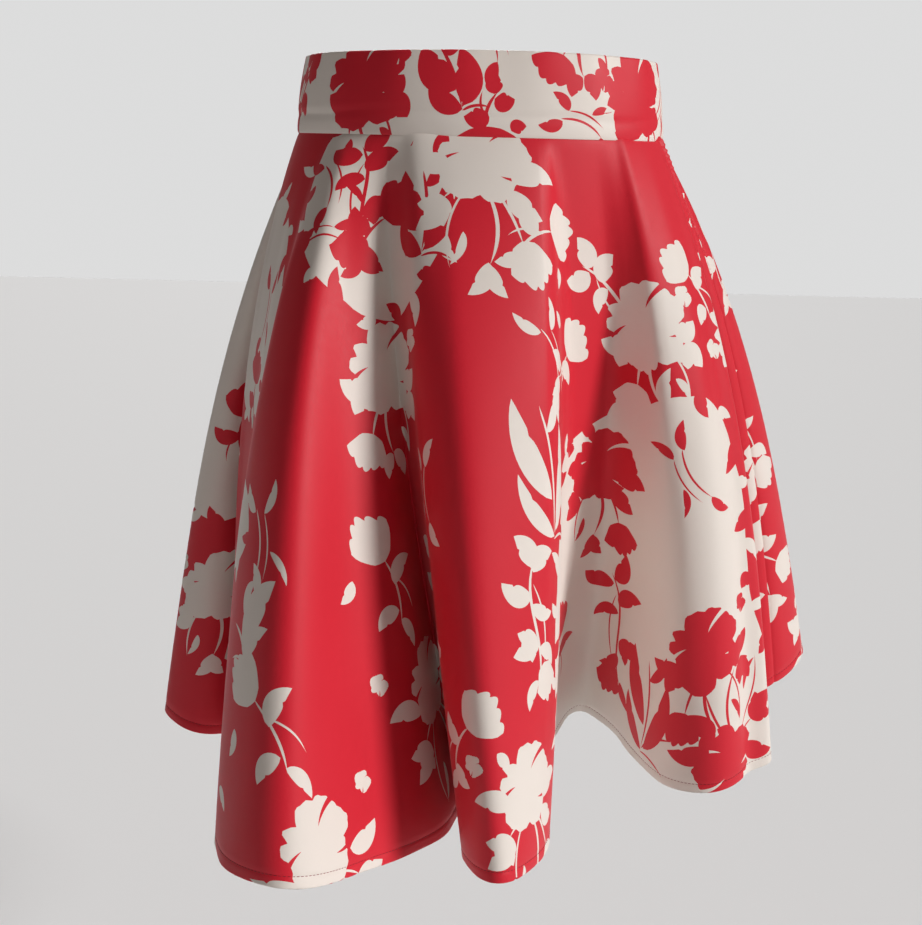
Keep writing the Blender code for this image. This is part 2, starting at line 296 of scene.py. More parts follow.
def clothAt(u, s):  # the hang pushed along its own normals by the offsets
    s = np.clip(s, 0.0, 1.0)
    normal = normalsOf(lambda a, b: hangAt(a, np.clip(b, 0, 1)), u, np.clip(s, 0.0006, 0.9994), 0.0005)
    return hangAt(u, s) + normal * offsetAt(u, s)[:, None], normal


hemRadius = cut["hemThickness"] / 2
hemStart = cut["length"] - hemRadius                   # where the outer face turns under
turnEnd = hemStart + math.pi * hemRadius
faceEnd = turnEnd + cut["hemTurn"]                     # the raw edge of the turned hem


# The printed face, d metres down the cloth: the cloth, then a half turn of hemRadius, then
# back up the inside at the hem's thickness.
def printFace(u, d):
    flat = np.clip(d, 0, hemStart)
    under = np.clip(d - turnEnd, 0, None)
    spot, normal = clothAt(u, (flat - under) / cut["length"])
    lower = np.clip(flat - under, 0.001, None)
    down = unit(clothAt(u, lower / cut["length"])[0] - clothAt(u, (lower - 0.001) / cut["length"])[0])
    turn = np.clip((d - hemStart) / hemRadius, 0, math.pi)[:, None]
    return spot - normal * hemRadius * (1 - np.cos(turn)) + down * hemRadius * np.sin(turn)


def backFace(u, d):  # the reverse of the cloth, its thickness behind the printed face
    spot, normal = clothAt(u, d / cut["length"])
    return spot - normal * cut["thickness"]


# Length along each section of the hang from u = tableU[0], for every row of tableS.
def sectionLengths():
    rows = np.array([hangAt(tableU, np.full(len(tableU), s)) for s in tableS])
    steps = np.linalg.norm(np.diff(rows, axis=1), axis=2)
    return np.hstack([np.zeros((len(tableS), 1)), np.cumsum(steps, axis=1)])


sections = sectionLengths()


# Places on the flat half circle, whose middle is the origin and whose middle thread runs down
# from it: radius = waist radius + d, angle = length along the section over that radius.
def flatFrom(u, d, middle):
    s = np.clip(d / cut["length"], 0, hemStart / cut["length"])
    along = readTable(sections, u, s) - readTable(sections, np.full_like(u, middle), s)
    angle = along / (cut["waistRadius"] + s * cut["length"])
    radius = cut["waistRadius"] + d
    return np.stack([radius * np.sin(angle), -radius * np.cos(angle)], 1)


# And back: d is the radius less the waist's, and u is looked up in the two nearest rows.
def threadFrom(flat, middle):
    radius = np.hypot(flat[:, 0], flat[:, 1])
    d = radius - cut["waistRadius"]
    s = np.clip(d / cut["length"], 0, hemStart / cut["length"])
    along = np.arctan2(flat[:, 0], -flat[:, 1]) * (cut["waistRadius"] + s * cut["length"])
    row = np.clip((s * (len(tableS) - 1)).astype(int), 0, len(tableS) - 2)
    share = s * (len(tableS) - 1) - row
    big = sections.max() + 1.0
    stacked = (sections + np.arange(len(tableS))[:, None] * big).ravel()
    threads = np.tile(tableU, len(tableS))
    u = np.zeros_like(d)
    for rows, weight in ((row, 1 - share), (row + 1, share)):
        start = readTable(sections, np.full_like(u, middle), rows / (len(tableS) - 1))
        reached = np.clip(along + start, 0, sections[rows, -1])
        u += weight * np.interp(reached + rows * big, stacked, threads)
    return u, d


# The waistband: u runs round it from the centre back, d from its inner lower edge up the
# inside, over the fold and down the outside. All are metres on the flat strip.
band = {
    "height": cut["bandHeight"],
    "thickness": 0.0036,
    "taper": 0.0060,            # how far the top draws in
    "proud": 0.0008,            # how far the lower edge stands out past the skirt
    "round": 0.0013,            # of its lower edges
    "creaseHeight": 0.013,      # a soft line pressed round it, above the lower edge
    "creaseDepth": 0.0009,
    "puff": 0.0010,
    "lap": 0.0013,              # how far its lower edge reaches down over the skirt's edge
    "around": 0.7115,
}
bandFold = math.pi * band["thickness"] / 2
bandSide = band["height"] - band["thickness"] / 2
bandEnd = 2 * bandSide + bandFold


# Height goes up, round a half circle and down; the inset is the taper as the height's
# square root, less a puff, plus the crease's trough and the rounding of the lower edges.
def bandFace(u, d):
    radius = band["thickness"] / 2
    turn = np.clip((d - bandSide) / radius, 0, math.pi)
    up = np.clip(d, 0, bandSide) - np.clip(d - bandSide - bandFold, 0, None)
    rise = up / bandSide
    lean = 0.5 * rise + 0.5 * rise ** 2
    middle = band["taper"] * lean + radius - band["proud"] * (1 - rise)
    side = -np.cos(turn)                                     # -1 inside, 1 outside
    wave = 2 * np.pi * u
    full = band["puff"] * np.sin(np.pi * np.clip(rise, 0, 1)) * (0.7 + 0.3 * np.sin(5 * wave + 1))
    level = band["creaseHeight"] + 0.0016 * np.sin(3 * wave) + 0.0010 * np.sin(7 * wave + 2)
    pressed = band["creaseDepth"] * np.exp(-((up - level) / 0.0030) ** 2) * (0.65 + 0.35 * np.sin(4 * wave))
    rolled = band["round"] * np.exp(-up / 0.0012)
    seam = 0.0011 * (np.exp(-u / 0.0016) + np.exp(-(1 - u) * band["around"] / 0.0016))
    half = radius + (full - pressed) * np.clip(side + 0.3, 0, 1) - rolled * 0.5 - seam * 0.4
    ripples = 0.0006 * np.sin(9 * wave + 0.6) + 0.0004 * np.sin(17 * wave)
    inset = middle - side * half - ripples * rise
    angle = 2 * math.pi * u + math.pi / 2
    out = unit(np.stack([np.cos(angle) / cut["waistWidth"], np.sin(angle) / cut["waistDepth"]], 1))
    x = cut["waistWidth"] / 2 * np.cos(angle) - inset * out[:, 0]
    y = cut["waistDepth"] / 2 * np.sin(angle) - inset * out[:, 1]
    top = 0.0007 * np.sin(2 * wave + 1) * rise
    z = seamHeight + up + radius * np.sin(turn) + top - band["lap"] * (1 - rise)
    return np.stack([x, y, z], 1)


# Triangles that zip two rows of points together, each row with its own rising parameter:
# the rows' steps are merged in order, and each step makes one triangle with the point that
# the other row has reached. Returns their corners as (row, place) pairs.
def zipRows(first, second):
    steps = np.concatenate([first[1:], second[1:]])
    mine = np.concatenate([np.ones(len(first) - 1, int), np.zeros(len(second) - 1, int)])
    mine = mine[np.argsort(steps, kind="stable")]
    a = np.concatenate([[0], np.cumsum(mine)])[:-1]
    b = np.concatenate([[0], np.cumsum(1 - mine)])[:-1]
    ahead = np.where(mine == 1, a + 1, b + 1)
    rows = np.stack([np.zeros_like(a), 1 - mine, np.ones_like(a)], 1)
    return rows, np.stack([a, ahead, b], 1)


# Cut the outlines into a sheet of points: a Delaunay mesh on the flat cloth that keeps the
# border and every outline as edges. Triangles outside the border's own u and d are dropped.
def cutSheet(sheet, prints):
    grid, border = sheet["toFlat"](*sheet["inner"]), sheet["toFlat"](*sheet["border"])
    outlines = [outline for outline, _ in prints]
    ends = np.cumsum([len(border)] + [len(outline) for outline in outlines])
    follow = np.arange(ends[-1]) + 1
    follow[ends - 1] = np.concatenate([[0], ends[:-1]])
    flat = np.concatenate([border] + outlines + [grid])
    edges = np.stack([np.arange(ends[-1]), follow], 1)
    made = delaunay_2d_cdt([Vector(p) for p in flat.tolist()], edges.tolist(), [], 0, 1e-6, False)
    flat = np.array([tuple(p) for p in made[0]])
    faces = np.array(made[2])
    corners = flat[faces]
    turn = (corners[:, 1] - corners[:, 0], corners[:, 2] - corners[:, 0])
    area = turn[0][:, 0] * turn[1][:, 1] - turn[0][:, 1] * turn[1][:, 0]
    faces[area < 0] = faces[area < 0][:, ::-1]
    u, d = sheet["fromFlat"](corners.mean(1))
    (lowU, highU), (lowD, highD) = sheet["limits"]
    inside = (u > lowU) & (u < highU) & (d > lowD) & (d < highD) & (np.abs(area) > 1e-13)
    faces = faces[inside]
    used, faces = np.unique(faces, return_inverse=True)
    faces = faces.reshape(-1, 3)
    u, d = sheet["fromFlat"](flat[used])
    return flat[used], np.clip(u, lowU, highU), np.clip(d, lowD, highD), faces


# Ink of each triangle: the outlines are painted in order, each over those before it, on the
# triangles whose middle lies inside it (an odd number of its edges crossed to the right).
def inkOf(middles, prints, ground):
    ink = np.full(len(middles), float(ground))
    for outline, colour in prints:
        low, high = outline.min(0), outline.max(0)
        near = np.flatnonzero(((middles > low) & (middles < high)).all(1))
        spots = middles[near]
        a, b = outline, np.roll(outline, -1, 0)
        above = (a[:, 1] > spots[:, 1:2]) != (b[:, 1] > spots[:, 1:2])
        rise = np.where(b[:, 1] == a[:, 1], 1e-12, b[:, 1] - a[:, 1])
        cross = (b[:, 0] - a[:, 0]) * (spots[:, 1:2] - a[:, 1]) / rise + a[:, 0]
        odd = ((spots[:, 0:1] < cross) & above).sum(1) % 2 == 1
        ink[near[odd]] = colour
    return ink


# Points on the edges that only one triangle has, split into the sheet's four borders.
def bordersOf(faces, u, d, limits):
    edges = np.sort(faces[:, [0, 1, 1, 2, 2, 0]].reshape(-1, 2), 1)
    key, count = np.unique(edges[:, 0] * (faces.max() + 1) + edges[:, 1], return_counts=True)
    lone = key[count == 1]
    rim = np.unique(np.concatenate([lone // (faces.max() + 1), lone % (faces.max() + 1)]))
    (lowU, highU), (lowD, highD) = limits
    close = 0.0003
    rows = {}
    for name, at, value, order in (("top", d, lowD, u), ("bottom", d, highD, u)):
        mine = rim[np.abs(at[rim] - value) < close]
        rows[name] = mine[np.argsort(order[mine])]
    for name, value in (("first", lowU), ("last", highU)):
        mine = rim[np.abs(u[rim] - value) < 2e-5]
        rows[name] = mine[np.argsort(d[mine])]
    return rows


# A mesh from parts of (points, faces, ink, reverse, corner uv, corner normals).
def meshPiece(name, points, faces, ink, back, uv, normals, material):
    mesh = bpy.data.meshes.new(name)
    mesh.vertices.add(len(points))
    mesh.vertices.foreach_set("co", points.astype(np.float32).ravel())
    mesh.loops.add(len(faces) * 3)
    mesh.loops.foreach_set("vertex_index", faces.astype(np.int32).ravel())
    mesh.polygons.add(len(faces))
    mesh.polygons.foreach_set("loop_start", np.arange(0, len(faces) * 3, 3, dtype=np.int32))
    mesh.update(calc_edges=True)
    for label, values in (("ink", ink), ("reverse", back)):
        layer = mesh.attributes.new(label, "FLOAT", "FACE")
        layer.data.foreach_set("value", values.astype(np.float32))
    layer = mesh.uv_layers.new(name="OFBake")
    layer.data.foreach_set("uv", uv.astype(np.float32).ravel())
    mesh.shade_smooth()
    mesh.normals_split_custom_set(normals.reshape(-1, 3).tolist())
    mesh.materials.append(material)
    piece = bpy.data.objects.new(name, mesh)
    bpy.context.collection.objects.link(piece)
    problem = mesh.validate(verbose=False)
    print(name, len(points), "points", len(faces), "triangles", "REPAIRED" if problem else "")
    return piece


# Fit flat places into a box of the unit square, keeping their shape.
def fitted(flat, low, high):
    size = np.ptp(flat, axis=0)
    scale = ((np.array(high) - low) / size).min()
    return np.array(low) + (flat - flat.min(0)) * scale


# A whole piece of printed cloth: the printed sheet, its reverse on a coarser grid where it
# has one, and zips that close the top, the bottom and the sides.
def printedPiece(name, sheet, prints, ground, material):
    flat, u, d, faces = cutSheet(sheet, prints)
    points = sheet["face"](u, d)
    normals = normalsOf(sheet["face"], u, d, 0.0002)
    ink = inkOf(flat[faces].mean(1), prints, ground)
    rows = bordersOf(faces, u, d, sheet["limits"])
    parts = {
        "points": [points], "faces": [faces], "ink": [ink], "back": [np.zeros(len(faces))],
        "uv": [fitted(flat, (0.005, 0.005), (0.995, 0.480))[faces]], "normals": [normals[faces]],
    }
    count = [len(points)]

    def lane(number, rowOf, places, lengths):  # a narrow strip of the map for a zip
        x = 0.01 + 0.98 * places / np.maximum(np.array(lengths)[rowOf] - 1, 1)
        return np.stack([x, 0.484 + 0.004 * number + 0.003 * rowOf], 2)

    # One zip between two rows of points, flipped where it would face inwards.
    def close(number, a, b, alongA, alongB, flip, inkValue, backValue):
        rowOf, places = zipRows(alongA, alongB)
        joined = np.where(rowOf == 0, a[np.minimum(places, len(a) - 1)], b[np.minimum(places, len(b) - 1)])
        uv = lane(number, rowOf, places, (len(a), len(b)))
        good = (joined != np.roll(joined, 1, axis=1)).all(1)
        joined, uv = joined[good], uv[good]
        if flip:
            joined, uv = joined[:, ::-1], uv[:, ::-1]
        parts["faces"].append(joined)
        parts["ink"].append(np.full(len(joined), inkValue))
        parts["back"].append(np.full(len(joined), backValue))
        parts["uv"].append(uv)
        parts["normals"].append(np.zeros((len(joined), 3, 3)))

    if "back" in sheet:
        backU, backD = sheet["backGrid"]
        across, down = len(backU), len(backD)
        gridU, gridD = np.repeat(backU, down), np.tile(backD, across)
        backPoints = sheet["back"](gridU, gridD)
        i, j = np.meshgrid(np.arange(across - 1), np.arange(down - 1), indexing="ij")
        a = (i * down + j).ravel()
        quads = np.stack([a, a + down, a + down + 1, a, a + down + 1, a + 1], 1).reshape(-1, 3)
        backNormals = -normalsOf(sheet["back"], gridU, np.clip(gridD, 0.0004, None), 0.0003)
        backFlat = fitted(sheet["toFlat"](gridU, gridD), (0.005, 0.515), (0.995, 0.995))
        parts["points"].append(backPoints)
        parts["faces"].append(quads + len(points))
        parts["ink"].append(np.zeros(len(quads)))
        parts["back"].append(np.ones(len(quads)))
        parts["uv"].append(backFlat[quads])
        parts["normals"].append(backNormals[quads])
        spots = np.arange(across * down).reshape(across, down) + len(points)
        close(0, rows["top"], spots[:, 0], u[rows["top"]], backU, False, ground, 1.0)
        close(1, rows["bottom"], spots[:, -1], u[rows["bottom"]], backU, True, ground, 1.0)
        turned = (hemStart + turnEnd) / 2
        for number, side, column, flip in ((2, "first", 0, True), (3, "last", -1, False)):
            outer = rows[side][d[rows[side]] <= turned]
            allowance = rows[side][d[rows[side]] > turned][::-1]
            inner = np.concatenate([spots[column], allowance])
            tip = outer[-1:]
            alongInner = np.concatenate([backD, 2 * hemStart + math.pi * hemRadius - d[allowance] + 0.0001])
            close(number, outer, np.concatenate([inner, tip]), d[outer],
                  np.concatenate([alongInner, alongInner[-1:] + 0.001]), flip, ground, 1.0)
    else:
        close(0, rows["bottom"], rows["top"], u[rows["bottom"]], u[rows["top"]], True, ground, 1.0)
        close(1, rows["first"], rows["last"], d[rows["first"]], d[rows["last"]], True, ground, 0.0)
    whole = {key: np.concatenate(value) for key, value in parts.items()}
    return meshPiece(name, whole["points"], whole["faces"], whole["ink"], whole["back"],
                     whole["uv"], whole["normals"], material)


# Shader maths: wraps a socket, so that an expression adds its Math nodes.
class Wire:
    def __init__(self, tree, socket):
        self.tree, self.socket = tree, socket

    def math(self, operation, *others, flip=False):
        values = [self, *others]
        return node(self.tree, "Math", {"operation": operation}, values[::-1] if flip else values)[0]

    def __add__(self, other):
        return self.math("ADD", other)

    def __radd__(self, other):
        return self.math("ADD", other, flip=True)

    def __sub__(self, other):
        return self.math("SUBTRACT", other)

    def __rsub__(self, other):
        return self.math("SUBTRACT", other, flip=True)

    def __mul__(self, other):
        return self.math("MULTIPLY", other)

    def __rmul__(self, other):
        return self.math("MULTIPLY", other, flip=True)


# Any node: its type, its settings, and the values or links of its sockets, by place or name.
# Returns its outputs, each in a Wire.
def node(tree, kind, settings=(), values=()):
    made = tree.nodes.new("ShaderNode" + kind)
    for key, value in dict(settings).items():
        setattr(made, key, value)
    for key, value in (values.items() if isinstance(values, dict) else enumerate(values)):
        if isinstance(value, Wire):
            tree.links.new(value.socket, made.inputs[key])
        else:
            made.inputs[key].default_value = value
    return [Wire(tree, output) for output in made.outputs]


def mixColour(tree, factor, first, second):  # first where the factor is 0, second where 1
    values = {0: factor, 6: first, 7: second}
    return node(tree, "Mix", {"data_type": "RGBA"}, values)[2]


satin = {
    "red": (0.600, 0.006, 0.020, 1),
    "redWorn": (0.680, 0.016, 0.034, 1),
    "white": (0.800, 0.730, 0.675, 1),
    "whiteWarm": (0.770, 0.685, 0.615, 1),
    "reverse": (0.760, 0.690, 0.650, 1),
    "reverseRed": (0.640, 0.300, 0.290, 1),
    "roughness": 0.54,
    "sheen": 0.10,
    "sheenRoughness": 0.45,
    "specular": 0.28,
    "grain": 1500.0,            # knit columns in a metre
}


# Printed satin: ink from the mesh's own faces, a fine noise in the bump, a slow unevenness
# of colour, and a duller, paler reverse.
def satinMaterial(name):
    material = bpy.data.materials.new(name)
    material.use_nodes = True
    tree = material.node_tree
    shader = tree.nodes["Principled BSDF"]
    ink = node(tree, "Attribute", {"attribute_name": "ink"})[2]
    reverse = node(tree, "Attribute", {"attribute_name": "reverse"})[2]
    place = node(tree, "TexCoord")[3]
    slow = node(tree, "TexNoise", {}, {"Vector": place, "Scale": 9.0, "Detail": 3.0})[0]
    fleck = node(tree, "TexNoise", {}, {"Vector": place, "Scale": 900.0, "Detail": 2.0})[0]
    wide = node(tree, "TexNoise", {}, {"Vector": place, "Scale": 160.0, "Detail": 2.0})[0]
    red = mixColour(tree, (slow * 0.7 + fleck * 0.5) - 0.1, satin["red"], satin["redWorn"])
    white = mixColour(tree, slow * 0.6 + fleck * 0.4, satin["white"], satin["whiteWarm"])
    face = mixColour(tree, ink, white, red)
    inside = mixColour(tree, ink * 0.5, satin["reverse"], satin["reverseRed"])
    colour = mixColour(tree, reverse, face, inside)
    rough = satin["roughness"] + (fleck - 0.5) * 0.16 + (wide - 0.5) * 0.06 + reverse * 0.30
    tree.links.new(colour.socket, shader.inputs["Base Color"])
    tree.links.new(rough.socket, shader.inputs["Roughness"])
    height = fleck * 0.7 + wide * 0.5
    values = {"Strength": 0.10, "Distance": 0.0003, "Height": height}
    bump = node(tree, "Bump", {}, values)[0]
    tree.links.new(bump.socket, shader.inputs["Normal"])
    shader.inputs["Sheen Weight"].default_value = satin["sheen"]
    shader.inputs["Sheen Roughness"].default_value = satin["sheenRoughness"]
    shader.inputs["Specular IOR Level"].default_value = satin["specular"]
    return material


grid = {
    "column": 0.0035,           # width of the sheet's facets at the hem
    "row": 0.0042,
    "fewer": ((0.16, 2), (1.01, 1)),   # up to this share, every so many columns
    "backColumn": 0.0045,
    "backRow": 0.0110,
    "roll": (0.0005, 0.0011, 0.0020, 0.0032),     # extra columns beside a seam
}


# A panel's points: even columns with a few more beside the seams, even rows with a few more
# at the waist, at the stitches and round the hem's turn. Fewer columns where they crowd, and
# a coarser panel has wider steps.
def panelSheet(firstAngle, lastAngle, middleAngle, coarser):
    first, last, middle = (threadAt(angle) for angle in (firstAngle, lastAngle, middleAngle))
    first -= first > last
    middle -= middle > last
    count = int((last - first) * hemLength / grid["column"] / coarser / 4) * 4 + 1
    columns = np.linspace(first, last, count)
    roll = np.array(grid["roll"]) / hemLength
    stitches = hemStart - ripple["stitchRow"] + hemRadius
    rows = np.concatenate([
        (0.001, 0.002), np.arange(grid["row"], stitches - 0.003, grid["row"] * coarser),
        stitches + np.array((-0.0016, -0.0008, 0, 0.0008, 0.0016)),
        np.linspace(stitches + 0.0030, hemStart, 3),
        hemStart + math.pi * hemRadius * np.array((0.25, 0.5, 0.75)),
        turnEnd + np.linspace(0, cut["hemTurn"], 5)[:-1],
    ])
    share = rows / cut["length"]
    inner = []
    start = 0.0
    for end, every in grid["fewer"]:
        some = np.concatenate([columns[::every][1:-1], first + roll, last - roll])
        mine = rows[(share >= start) & (share < end)]
        inner.append(np.stack(np.meshgrid(some, mine, indexing="ij"), -1).reshape(-1, 2))
        start = end
    inner = np.concatenate(inner)
    few = columns[:: grid["fewer"][0][1]]
    borderU = np.concatenate([columns, np.full(len(rows), last), few[::-1], np.full(len(rows), first)])
    borderD = np.concatenate([np.full(count, faceEnd), rows[::-1], np.zeros(len(few)), rows])
    reverseU = np.linspace(first, last, int((last - first) * hemLength / grid["backColumn"] / coarser))
    reverseD = np.linspace(0, hemStart - cut["hemTurn"], int(cut["length"] / grid["backRow"]))
    return {
        "face": printFace, "back": backFace, "limits": ((first, last), (0.0, faceEnd)),
        "toFlat": lambda u, d: flatFrom(u, d, middle), "fromFlat": lambda flat: threadFrom(flat, middle),
        "inner": (inner[:, 0], inner[:, 1]), "border": (borderU, borderD), "backGrid": (reverseU, reverseD),
    }


# The band's points: even columns, and rows that crowd at its two edges and over its fold.
def bandSheet():
    count = 361
    columns = np.linspace(0, 1, count)
    side = np.concatenate([(0.0004, 0.001, 0.002), np.arange(0.004, bandSide, 0.0024)])
    rows = np.concatenate([side, bandSide + bandFold * np.linspace(0, 1, 9), bandEnd - side[::-1]])
    inner = np.stack(np.meshgrid(columns[1:-1], rows, indexing="ij"), -1).reshape(-1, 2)
    borderU = np.concatenate([columns, np.ones(len(rows)), columns[::-1], np.zeros(len(rows))])
    borderD = np.concatenate([np.full(count, bandEnd), rows[::-1], np.zeros(count), rows])
    return {
        "face": bandFace, "limits": ((0.0, 1.0), (0.0, bandEnd)),
        "toFlat": lambda u, d: np.stack([(u - 0.5) * band["around"], bandEnd - d], 1),
        "fromFlat": lambda flat: (flat[:, 0] / band["around"] + 0.5, bandEnd - flat[:, 1]),
        "inner": (inner[:, 0], inner[:, 1]), "border": (borderU, borderD),
    }


# The print. Each motif below is one outline, drawn between places that "at" lays on the flat
# cloth. On a panel a place is (degrees from the middle thread, centimetres down), and lies at
# that angle and at the waist's radius plus its depth.
def onPanel(places):
    places = np.atleast_2d(np.array(places, float))
    radius, turn = cut["waistRadius"] + places[:, 1] * 0.01, np.radians(places[:, 0])
    return np.stack([radius * np.sin(turn), -radius * np.cos(turn)], 1)


def onBand(places):  # a place is (centimetres from the centre front, centimetres up)
    return np.atleast_2d(np.array(places, float)) * 0.01


# Places in a posy's own centimetres, across and down, turned by an angle and set at one spot
# of the flat cloth: spot + across (cos, sin) size + down (sin, -cos) |size|, so that a size
# less than nothing mirrors it.
def posyAt(middle, degrees, size):
    angle = math.radians(degrees)
    across = np.array([math.cos(angle), math.sin(angle)]) * size
    below = np.array([math.sin(angle), -math.cos(angle)]) * abs(size)

    def at(places):  # centimetres to the flat cloth
        places = np.atleast_2d(np.array(places, float)) * 0.01
        return middle + places[:, 0:1] * across + places[:, 1:2] * below
    return at


# A curve through a few places: one polynomial over their chord lengths.
def pathThrough(points, count):
    steps = np.linalg.norm(np.diff(points, axis=0), axis=1)
    known = np.concatenate([[0], np.cumsum(steps)]) / steps.sum()
    t = np.linspace(0, 1, count)
    return np.stack([np.polyval(np.polyfit(known, points[:, k], len(points) - 1), t) for k in (0, 1)], 1)


def turned(way, angle):  # a flat vector turned anticlockwise
    return np.array([way[0] * math.cos(angle) - way[1] * math.sin(angle),
                     way[0] * math.sin(angle) + way[1] * math.cos(angle)])


# Both sides of a middle line, at half widths to the left and to the right.
def ribbon(middle, left, right):
    along = unit(np.gradient(middle, axis=0))
    side = np.stack([-along[:, 1], along[:, 0]], 1)
    return np.concatenate([middle + side * left[:, None], (middle - side * right[:, None])[-2:0:-1]])


# A leaf: half width = sin(pi t^0.8)^0.85 of its own, one side a little fuller and nicked.
def leaf(at, ink, foot, tip, width, bend=0.12):
    ends = at([foot, tip])
    along = ends[1] - ends[0]
    t = np.linspace(0, 1, 15)
    bow = np.stack([-along[1], along[0]]) * bend
    middle = ends[0] + along * t[:, None] + bow * (4 * t * (1 - t))[:, None]
    half = width * 0.005 * np.sin(np.pi * t ** 0.8) ** 0.85
    nick = 1 - 0.28 * np.exp(-((t - 0.64) / 0.05) ** 2)
    full = 1.12 if bend > 0 else 0.88
    left = half * full * (nick if bend <= 0 else 1)
    right = half * (2 - full) * (nick if bend > 0 else 1)
    return [(ribbon(middle, left, right), ink)]


# Three leaves from one foot: the middle one, and two shorter ones turned to its sides.
def trefoil(at, ink, foot, tip, width, spread=44):
    ends = at([foot, tip])
    along = ends[1] - ends[0]
    made = []
    for angle, share in ((0, 1.0), (spread, 0.74), (-spread * 0.9, 0.66)):
        way = turned(along, math.radians(angle)) * share
        bend = -0.08 if angle > 0 else 0.10
        made += leaf(lambda places: np.array([ends[0], ends[0] + way]), ink, foot, tip,
                     width * (0.4 + 0.6 * share), bend)
    return made


# A full flower: an oval whose radius dips between its petals, uneven, with slits let in.
def bloom(at, ink, centre, width, height, lean, petals, phase):
    middle, above = at([centre, (centre[0], centre[1] - 0.1)])
    up = turned(unit(above - middle), math.radians(lean))
    right = np.array([up[1], -up[0]])

    def place(angle, radius):  # shares of the oval's half sizes
        return (middle + right * (width * 0.005 * radius * np.sin(angle))[:, None]
                + up * (height * 0.005 * radius * np.cos(angle))[:, None])
    angle = np.linspace(0, 2 * np.pi, petals * 10, endpoint=False)
    warped = angle + 0.30 * np.sin(angle + phase) + 0.14 * np.sin(3 * angle + 2 * phase)
    dip = 1 - np.abs(np.sin(petals * warped / 2)) ** 0.75
    radius = (1 - 0.17 * dip * (0.8 + 0.6 * np.sin(2 * angle + 3 * phase)) + 0.09 * np.sin(2 * angle + phase)
              + 0.06 * np.sin(5 * angle - phase) + 0.02 * np.sin(23 * angle + phase))
    made = [(place(angle, radius), ink)]
    for k, reach in ((1, 0.42), (3, 0.55), (petals - 2, 0.50)):
        start = 2 * np.pi * (k + 0.3 * math.sin(phase + k)) / petals
        t = np.linspace(0, 1, 9)
        line = place(start + 0.5 * t * math.cos(phase + 2 * k), 1.06 - (1.06 - reach) * t)
        half = width * 0.0050 * 0.07 * (1 - t) ** 0.8
        made.append((ribbon(line, half, half), 1 - ink))
    return made


# A flower from the side: it opens from its foot, and its far rim is a row of petals.
def fan(at, ink, foot, tip, width, petals=5, phase=0.0):
    ends = at([foot, tip])
    along = ends[1] - ends[0]
    side = unit(np.array([along[1], -along[0]])) * width * 0.005
    u = np.linspace(-1, 1, petals * 9 + 1)
    dip = 1 - np.abs(np.sin(petals * np.pi * (u + 1) / 2 + 0.25 * np.sin(3 * u + phase))) ** 0.6
    up = (0.97 - 0.15 * dip + 0.07 * np.sin(4 * u + phase)) * np.sqrt(1 - 0.55 * u ** 2)
    t = np.linspace(0.06, 1, 7)[:-1]
    rise = t ** 1.5 * up[0]
    right = np.sqrt(t) * (0.98 + 0.05 * np.sin(7 * t + phase))
    x = np.concatenate([[0], -right, u, right[::-1]])
    y = np.concatenate([[-0.03], rise, up, rise[::-1]])
    return [(ends[0] + side * x[:, None] + along * y[:, None], ink)]


# A stem or a brush stroke through a few places, pointed at both ends.
def stem(at, ink, places, width):
    middle = pathThrough(at(places), 16)
    t = np.linspace(0, 1, 16)
    half = width * 0.005 * (0.12 + 0.88 * np.clip(1 - np.abs(2 * t - 0.9) ** 3, 0, 1))
    return [(ribbon(middle, half, half), ink)]


# A patch of ground: a smooth closed line through its places, pushed out by two rectified
# sines of its length, so that its edge is torn a little.
def patchLine(points):
    spline = closedSpline(points)
    t = np.linspace(0, len(points), len(points) * 9, endpoint=False)
    line = splineAt(spline, t)
    along = unit(np.roll(line, -1, 0) - np.roll(line, 1, 0))
    tear = np.abs(np.sin(2.3 * t + 0.8 * np.sin(1.1 * t))) + 0.5 * np.abs(np.sin(5.3 * t + 1))
    return line + np.stack([-along[:, 1], along[:, 0]], 1) * (tear * 0.25 * 0.01)[:, None]


# A patch whose edge breaks into leaves: at even steps along it, one of its own ink leaning
# outwards, then one of the other ink leaning inwards, their sizes in slow waves.
def field(at, ink, places, step, size):
    line = patchLine(at(places))
    made = [(line, ink)]
    closed = np.concatenate([line, line[:1]])
    arc = np.concatenate([[0], np.cumsum(np.linalg.norm(np.diff(closed, axis=0), axis=1))])
    count = int(arc[-1] / step * 100)
    spaced = (np.arange(count) + 0.5) / count * arc[-1]
    spots = np.stack([np.interp(spaced, arc, closed[:, k]) for k in (0, 1)], 1)
    ahead = unit(np.roll(spots, -1, 0) - np.roll(spots, 1, 0))
    out = np.stack([ahead[:, 1], -ahead[:, 0]], 1)
    around = (line[:, 0] * np.roll(line[:, 1], -1) - np.roll(line[:, 0], -1) * line[:, 1]).sum()
    out *= 1 if around > 0 else -1
    for k, (spot, along, away) in enumerate(zip(spots, ahead, out)):
        inward = k % 2 == 1
        reach = size * 0.01 * (0.85 + 0.35 * math.sin(2.4 * k + 0.5))
        way = unit(along * math.cos(0.9 + 0.5 * math.sin(1.7 * k)) + away * (-1 if inward else 1) * 0.8)
        foot = spot - way * reach * 0.25
        ends = np.array([foot, foot + way * reach])
        wide = size * (0.42 + 0.08 * math.sin(3.1 * k))
        made += leaf(lambda places: ends, 1 - ink if inward else ink, 0, 0, wide, 0.12 if k % 3 else -0.12)
    return made


kinds = {"leaf": leaf, "trefoil": trefoil, "bloom": bloom, "fan": fan, "stem": stem}


def drawn(rows, at, ink):  # every row's outlines in order, all in one ink
    made = []
    for kind, *values in rows:
        made += kinds[kind](at, ink, *values)
    return made


